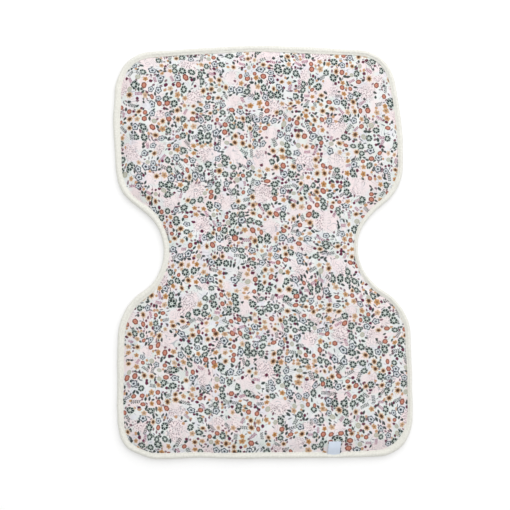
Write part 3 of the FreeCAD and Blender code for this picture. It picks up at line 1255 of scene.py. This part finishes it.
def make_sprig():
    """A stem with small leaves on both sides."""
    inputs = {"Along": 0.0, "Across": 0.0, "Length": 3 * MM, "Gap": 1.6 * MM}
    tree, given, end = new_group("sprig", inputs, {"Ink": "Float"})
    along, across, gap = given["Along"], given["Across"].size(), given["Gap"]
    stem = across.work("LESS_THAN", 0.14 * MM)
    step = ((along - across * 0.7) / gap).work("FRACT") - 0.5
    leaflet = (step * 3.2).size() + ((across - gap * 0.55) / (gap * 0.5)).work("POWER", 2.0)
    body = along.size().work("LESS_THAN", given["Length"])
    plug(tree, stem.work("MAXIMUM", leaflet.work("LESS_THAN", 1.0)) * body, end.inputs["Ink"])
    return tree


flower = make_flower()
leaf = make_leaf()
sprig = make_sprig()

# %% The inks
ground_cool = paint(238, 239, 239)
ground_warm = paint(243, 229, 230)
ground_mint = paint(226, 234, 230)
ground_lilac = paint(232, 231, 238)
cloud_pink = paint(247, 232, 233)
inks = {
    "pine": paint(20, 41, 39), "slate": paint(44, 57, 70), "coral": paint(182, 112, 92),
    "wine": paint(104, 40, 46), "ochre": paint(188, 134, 74), "honey": paint(188, 132, 60),
    "umber": paint(80, 46, 26), "khaki": paint(176, 174, 150), "plum": paint(98, 32, 62),
    "rose": paint(150, 60, 104), "stem": paint(112, 128, 142), "blush": paint(220, 160, 136),
    "mint": paint(216, 228, 220), "cream": paint(242, 230, 210), "mist": paint(212, 217, 222),
}

# %% The layout of the print
flower_spacing = 8.4 * MM
flower_stray = 0.66  # how far the flowers stray from even rows, from 0 to 1


def print_place(tree):
    """Where a point is on the flat cloth, in metres, bent a little so no rows show."""
    node = tree.nodes.new("ShaderNodeUVMap")
    node.uv_map = "OFBake"
    flat = move(tree, "SCALE", Field(tree, node.outputs[0]), cloth_size)
    bend = tree.nodes.new("ShaderNodeTexNoise")
    bend.inputs["Scale"].default_value = 1 / (34 * MM)
    bend.inputs["Detail"].default_value = 0.0
    plug(tree, flat, bend.inputs["Vector"])
    return move(tree, "ADD", flat, move(tree, "SCALE", Field(tree, bend.outputs["Color"]), 9 * MM))


def cloud_cover(tree, place):
    """1 inside the pale clouds, 0 outside them, with a soft and uneven rim."""
    cell = use_group(tree, scatter, Place=place, Spacing=36 * MM, Stray=0.95)
    rough = cloudy(tree, place, 7 * MM, 2.0, flat=True) * (9 * MM)
    size = cell["Chance"] * (5 * MM) + 7.5 * MM
    return (1 - (cell["Away"] + rough).ramp(size, size + 5 * MM)) * cell["Pick"].work("LESS_THAN", 0.8)


# %% The printed cotton


def draw(colour, mask, ink, strength=1.0):
    """The colour with an ink laid over it where the mask is 1."""
    return mix_colour(colour.tree, mask * strength, colour, inks[ink])


def print_ground(tree, place):
    """Near-white cloth with faint pink, mint and lilac washes."""
    warm = cloudy(tree, place, 22 * MM, 1.0, flat=True).ramp(0.4, 0.58)
    colour = mix_colour(tree, warm, ground_cool, ground_warm)
    mint = cloudy(tree, move(tree, "ADD", place, (3.1, 1.7, 0)), 12 * MM, 1.0, flat=True).ramp(0.5, 0.68)
    colour = mix_colour(tree, mint * 0.8, colour, ground_mint)
    lilac = cloudy(tree, move(tree, "ADD", place, (7.7, 5.2, 0)), 14 * MM, 1.0, flat=True).ramp(0.54, 0.7)
    return mix_colour(tree, lilac * 0.8, colour, ground_lilac)


def print_flowers(tree, place, colour):
    """The larger motifs, one to a cell."""
    cell = use_group(tree, scatter, Place=place, Spacing=flower_spacing, Stray=flower_stray)
    open_ground = cloud_cover(tree, cell["Centre"]).work("LESS_THAN", 0.45)
    pick, size = cell["Pick"], cell["Chance"] * 0.3 + 0.84
    narrow = (cell["Chance"] * 7).work("FRACT") * 0.35 + 0.9
    where = {"Along": cell["Along"] * narrow, "Across": cell["Across"]}

    def bloom(low, high, radius, petals, dent):
        here = pick.within(low, high) * open_ground
        shape = use_group(tree, flower, Radius=size * radius, Petals=petals, Dent=dent, **where)
        return here, shape["Reach"], shape["Fold"]

    here, reach, fold = bloom(0.0, 0.22, 3.7 * MM, 7.0, 0.22)
    colour = draw(colour, here * (1 - reach.ramp(0.9, 1.6)), "mint", 0.8)
    petals = (reach - (1 - fold) * 0.25).within(0.32, 0.98) * fold.work("GREATER_THAN", 0.26)
    colour = draw(colour, here * petals, "pine")
    colour = draw(colour, here * reach.work("LESS_THAN", 0.14), "pine", 0.6)

    here, reach, _ = bloom(0.22, 0.34, 3.8 * MM, 5.0, 0.3)
    colour = draw(colour, here * (1 - reach.ramp(0.9, 1.3)), "mist", 0.9)
    lines = reach.within(0.75, 1.04).work("MAXIMUM", reach.work("LESS_THAN", 0.34))
    colour = draw(colour, here * lines, "slate")

    here, reach, _ = bloom(0.34, 0.49, 2.75 * MM, 6.0, 0.12)
    colour = draw(colour, here * (1 - reach.ramp(0.9, 1.5)), "cream", 0.5)
    colour = draw(colour, here * reach.work("LESS_THAN", 1.0), "coral")
    colour = draw(colour, here * reach.within(0.7, 1.0), "wine", 0.85)
    colour = draw(colour, here * reach.within(0.24, 0.44), "blush", 0.8)

    here, reach, fold = bloom(0.49, 0.65, 3.05 * MM, 5.0, 0.34)
    tone = (cell["Chance"] * 5).work("FRACT")
    colour = draw(colour, here * (1 - reach.ramp(0.7, 1.5)), "cream", 0.7)
    colour = draw(colour, here * (1 - reach.ramp(0.8, 1.05)), "ochre", tone * 0.4 + 0.6)
    colour = draw(colour, here * (1 - reach.ramp(0.1, 0.5)) * fold.ramp(0.2, 0.5), "umber", 0.85)

    here, reach, _ = bloom(0.65, 0.76, 3.9 * MM, 8.0, 0.4)
    colour = draw(colour, here * (1 - reach.ramp(0.6, 1.4)), "cream", 0.7)
    colour = draw(colour, here * (1 - reach.ramp(0.5, 1.0)), "honey", 0.9)
    colour = draw(colour, here * (1 - reach.ramp(0.34, 0.62)), "umber")

    here, reach, _ = bloom(0.76, 0.8, 2.7 * MM, 9.0, 0.08)
    colour = draw(colour, here * (1 - reach.ramp(0.85, 1.1)), "khaki", 0.9)
    colour = draw(colour, here * reach.within(0.3, 0.5), "mist", 0.7)

    here = pick.within(0.8, 0.87) * open_ground
    twig = use_group(tree, sprig, Length=size * (3.6 * MM), **where)["Ink"]
    colour = draw(colour, here * twig, "rose")
    here = pick.within(0.87, 0.97) * open_ground
    twig = use_group(tree, sprig, Length=size * (4.4 * MM), Gap=1.9 * MM, **where)["Ink"]
    return draw(colour, here * twig, "pine")


def print_fillers(tree, place, colour):
    """Leaves, berries and buds wherever no larger motif is near."""
    offset = (0.31, 0.17, 0)
    shifted = move(tree, "ADD", place, offset)
    cell = use_group(tree, scatter, Place=shifted, Spacing=3.7 * MM, Stray=0.85)
    centre = move(tree, "SUBTRACT", cell["Centre"], offset)
    host = use_group(tree, scatter, Place=centre, Spacing=flower_spacing, Stray=flower_stray)
    free = host["Away"].work("GREATER_THAN", 3.6 * MM)
    free = free * (cloud_cover(tree, centre) * 0.96).work("LESS_THAN", cell["Chance"])
    pick, size = cell["Pick"], cell["Chance"] * 0.4 + 0.8
    where = {"Along": cell["Along"], "Across": cell["Across"]}

    def blade(low, high, length, width):
        shape = use_group(tree, leaf, Length=size * length, Width=size * width, **where)
        return pick.within(low, high) * free * shape["Reach"].work("LESS_THAN", 1.0)

    colour = draw(colour, blade(0.0, 0.34, 2.5 * MM, 1.2 * MM), "pine", 0.95)
    colour = draw(colour, blade(0.34, 0.54, 1.7 * MM, 1.0 * MM), "plum", 0.85)
    colour = draw(colour, blade(0.54, 0.66, 1.8 * MM, 1.7 * MM), "plum")
    colour = draw(colour, blade(0.66, 0.74, 1.9 * MM, 1.5 * MM), "ochre", 0.85)
    return draw(colour, blade(0.74, 0.88, 2.2 * MM, 0.6 * MM), "slate", 0.8)


def print_stems(tree, place, colour):
    """Thin stems that wander between the flowers and break off."""
    height = cloudy(tree, move(tree, "ADD", place, (1.3, 4.9, 0)), 17 * MM, 1.0, flat=True)
    line = (height * 13).work("FRACT").work("LESS_THAN", 0.16)
    gaps = cloudy(tree, move(tree, "ADD", place, (2.3, 8.1, 0)), 9 * MM, 1.0, flat=True).ramp(0.46, 0.52)
    return draw(colour, line * gaps, "stem", 0.5)


def print_clouds(tree, place, colour, cover):
    """Pale pink clouds, sprinkled with specks."""
    colour = mix_colour(tree, cover * 0.8, colour, cloud_pink)
    speck = use_group(tree, scatter, Place=place, Spacing=1.5 * MM, Stray=0.9)
    dust = speck["Away"].work("LESS_THAN", 0.45 * MM) * speck["Pick"].work("LESS_THAN", 0.75)
    patches = cloudy(tree, place, 30 * MM, 1.0, flat=True).ramp(0.42, 0.58) * 0.85 + 0.15
    return draw(colour, dust * cover.ramp(0.1, 0.6) * patches, "plum", 0.8)


def fold_shade_streaks(tree, place):
    """Faint darker bands along the cloth's length: painted shade of long soft folds."""
    x, y, _ = split(tree, place)
    stretched = tree.nodes.new("ShaderNodeCombineXYZ")
    plug(tree, x, stretched.inputs[0])
    plug(tree, y * 0.12, stretched.inputs[1])
    return cloudy(tree, Field(tree, stretched.outputs[0]), 6 * MM, 2.0, flat=True).ramp(0.35, 0.65)


def make_printed_cotton():
    material, tree, shader = new_material("printed_cotton", 0.85, 0.08)
    place = print_place(tree)
    cover = cloud_cover(tree, place)
    colour = print_ground(tree, place)
    colour = print_clouds(tree, place, colour, cover)
    colour = print_stems(tree, place, colour)
    colour = print_fillers(tree, place, colour)
    colour = print_flowers(tree, place, colour)

    cloth = use_group(tree, weave, Place=place, Warp=0.42 * MM, Weft=0.46 * MM)
    touched = use_group(tree, handling, Place=place, Size=60 * MM)["Mask"]
    # painted shade: the cotton is darker where the weave sinks, between its threads
    colour = mix_colour(tree, cloth["Height"] * -0.1 + 0.1, colour, inks["slate"])
    colour = mix_colour(tree, touched * 0.06, colour, inks["khaki"])
    # painted shade of long soft folds, in bands along the cloth's length
    colour = mix_colour(tree, fold_shade_streaks(tree, place) * 0.05, colour, inks["slate"])
    plug(tree, colour, shader.inputs["Base Color"])
    plug(tree, touched * 0.1 + 0.8, shader.inputs["Roughness"])
    add_bump(tree, shader, cloth["Height"], 0.06 * MM)
    return material


printed_cotton = make_printed_cotton()
printed_face.data.materials.append(printed_cotton)
print("the print has", len(printed_cotton.node_tree.nodes), "nodes")

# %% [markdown]
# ### The ribbon
#
# A woven ribbon has fine ribs across it and a silky look.

# %% Grosgrain ribbon


def make_ribbon():
    material, tree, shader = new_material("pale_ribbon", 0.5, 0.2)
    place = object_place(tree)
    cloth = use_group(tree, weave, Place=place, Warp=0.35 * MM, Weft=0.7 * MM)
    touched = use_group(tree, handling, Place=place, Size=12 * MM)["Mask"]
    # painted shade and highlight: the ribbon is darker between its ribs and lighter on them
    colour = mix_colour(tree, cloth["Height"], paint(208, 219, 234), paint(226, 236, 248))
    colour = mix_colour(tree, touched * 0.4, colour, paint(208, 216, 232))
    plug(tree, colour, shader.inputs["Base Color"])
    plug(tree, touched * 0.15 + 0.45, shader.inputs["Roughness"])
    add_bump(tree, shader, cloth["Height"], 0.12 * MM)
    return material


ribbon_label.data.materials.append(make_ribbon())

# %% [markdown]
# ## Floor, light and camera
#
# The pad lies on white paper under an even sky of light, with a large soft lamp on the far
# side, a little to the right. So the only shadow is a faint one on the left and near sides.

# %% Paper floor
floor_mesh = bpy.data.meshes.new("floor")
floor_mesh.from_pydata([(-3, -3, 0), (3, -3, 0), (3, 3, 0), (-3, 3, 0)], [], [(0, 1, 2, 3)])
floor = bpy.data.objects.new("floor", floor_mesh)
floor.location.z = -0.1 * MM
bpy.context.scene.collection.objects.link(floor)


def seen_by_camera(tree):
    """1 for what the camera sees, straight or in a glossy or clear surface, and 0 for light."""
    path = tree.nodes.new("ShaderNodeLightPath")
    seen = Field(tree, path.outputs["Is Camera Ray"])
    for label in ("Is Glossy Ray", "Is Transmission Ray"):
        seen = seen.work("MAXIMUM", Field(tree, path.outputs[label]))
    return seen


def make_paper(lift):
    """White paper. The camera sees it a little brighter than it is, and far off fully white."""
    material, tree, shader = new_material("white_paper", 0.9, 0.0)
    place = object_place(tree)
    x, y, _ = split(tree, place)
    far_off = (x * x + y * y).work("SQRT").ramp(0.4, 1.1)
    grain = cloudy(tree, place, 2 * MM, 2.0)
    colour = mix_colour(tree, grain, paint(214, 214, 214), paint(220, 220, 220))
    plug(tree, colour, shader.inputs["Base Color"])
    shader.inputs["Emission Color"].default_value = (1, 1, 1, 1)
    plug(tree, seen_by_camera(tree) * (far_off + lift), shader.inputs["Emission Strength"])
    return material


paper_lift = 0.33
floor_mesh.materials.append(make_paper(paper_lift))

# %% Sky and lamp
world = bpy.data.worlds.new("studio")
bpy.context.scene.world = world
world.use_nodes = True
background = world.node_tree.nodes["Background"]
background.inputs["Color"].default_value = (1, 1, 1, 1)
sky_light = 0.7  # what the sky gives as light, where the camera sees it as 1
sky = seen_by_camera(world.node_tree) * (1 - sky_light) + sky_light
plug(world.node_tree, sky, background.inputs["Strength"])

softbox = bpy.data.lights.new("softbox", "AREA")
softbox.shape = "RECTANGLE"
softbox.size, softbox.size_y = 2.0, 1.5
softbox.energy = 12.6
softbox_object = bpy.data.objects.new("softbox", softbox)
softbox_object.location = (0.32, 0.70, 1.0)
aim = Vector((0, 0, 0)) - softbox_object.location
softbox_object.rotation_euler = aim.to_track_quat("-Z", "Y").to_euler()
bpy.context.scene.collection.objects.link(softbox_object)

# %% Camera
camera_elevation = math.radians(84.5)
camera_distance = 1.15
camera_roll = math.radians(-0.42)
view_width = 0.5322
target = Vector((-5.9 * MM, -6.2 * MM, 6 * MM))
camera = bpy.data.cameras.new("camera")
camera.sensor_width = 36
camera.lens = camera.sensor_width * camera_distance / view_width
camera_object = bpy.data.objects.new("camera", camera)
away = Vector((0, -math.cos(camera_elevation), math.sin(camera_elevation)))
camera_object.location = target + away * camera_distance
turn = (-away).to_track_quat("-Z", "Y").to_matrix()
camera_object.rotation_euler = (turn @ Matrix.Rotation(camera_roll, 3, "Z")).to_euler()
bpy.context.scene.collection.objects.link(camera_object)
bpy.context.scene.camera = camera_object
bpy.context.scene.view_settings.view_transform = "Standard"


def enclosed_area(points):
    """The area inside a closed row of points."""
    x, y = points[:, 0], points[:, 1]
    return 0.5 * abs(float(x @ np.roll(y, -1) - y @ np.roll(x, -1)))


panel_area = enclosed_area(fine_points - fine_outward * (half_width - face_high[0]))
strip_width = float(sum(
    math.hypot((b[0] - a[0]) * lip_mean, (b[1] - a[1]) * roll_height) for a, b in zip(section, section[1:])
))
